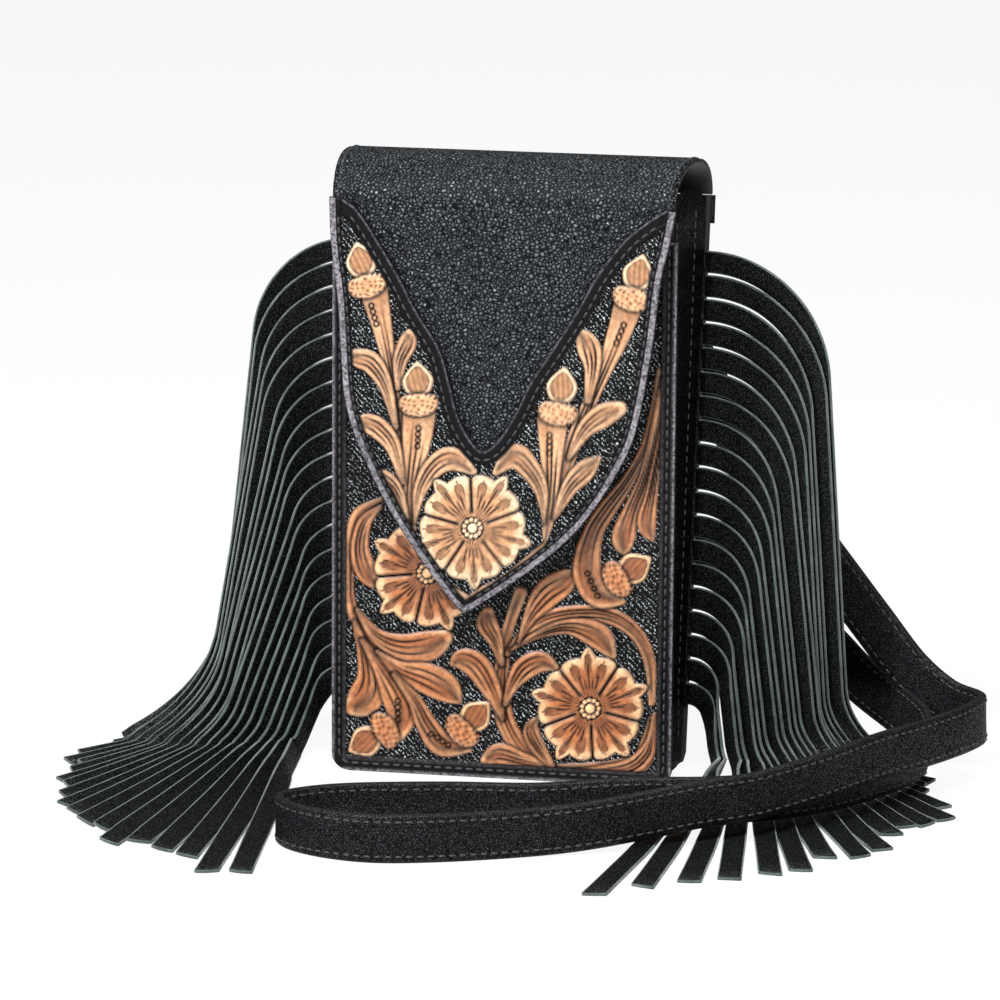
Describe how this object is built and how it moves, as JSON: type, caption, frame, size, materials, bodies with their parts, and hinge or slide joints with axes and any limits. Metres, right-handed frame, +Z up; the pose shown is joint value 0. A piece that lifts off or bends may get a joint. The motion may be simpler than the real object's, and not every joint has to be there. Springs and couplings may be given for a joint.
{
  "type": "phone bag",
  "caption": "Small upright leather phone bag with a carved front panel, a carved V-shaped flap that hinges open, long fringes down both sides and a shoulder strap lying round it",
  "frame": {"origin": "middle of the bag's flat bottom, on the floor that it stands on", "axes": "+X across the bag to the right as seen from the front, +Y from the carved front towards the back, +Z up"},
  "size_m": [0.292, 0.2107, 0.1992],
  "materials": {
    "panel_leather": "carved and dyed tooling leather with an antique finish",
    "overlay_leather": "carved natural tooling leather with a black ground",
    "black_leather": "smooth black leather",
    "pebbled_leather": "pebbled black leather with a soft sheen",
    "fringe_leather": "thin black leather, suede on its flesh side",
    "strap_leather": "black leather stitched along both edges",
    "snap_metal": "plain steel"
  },
  "bodies": {
    "bag": {"front_panel": "panel_leather", "gusset": "black_leather", "back_panel": "black_leather", "back_strip": "black_leather", "fringe_left": "fringe_leather", "fringe_right": "fringe_leather", "strap": "strap_leather", "snap_socket": "snap_metal"},
    "flap": {"flap_leather": "pebbled_leather", "flap_overlay": "overlay_leather", "snap_stud": "snap_metal"}
  },
  "joints": [
    {"name": "flap_hinge", "type": "hinge", "parent": "bag", "child": "flap", "pos_m": [0, 0.0381, 0.1844], "axis": [-1, 0, 0], "range_deg": [0, 150]}
  ]
}
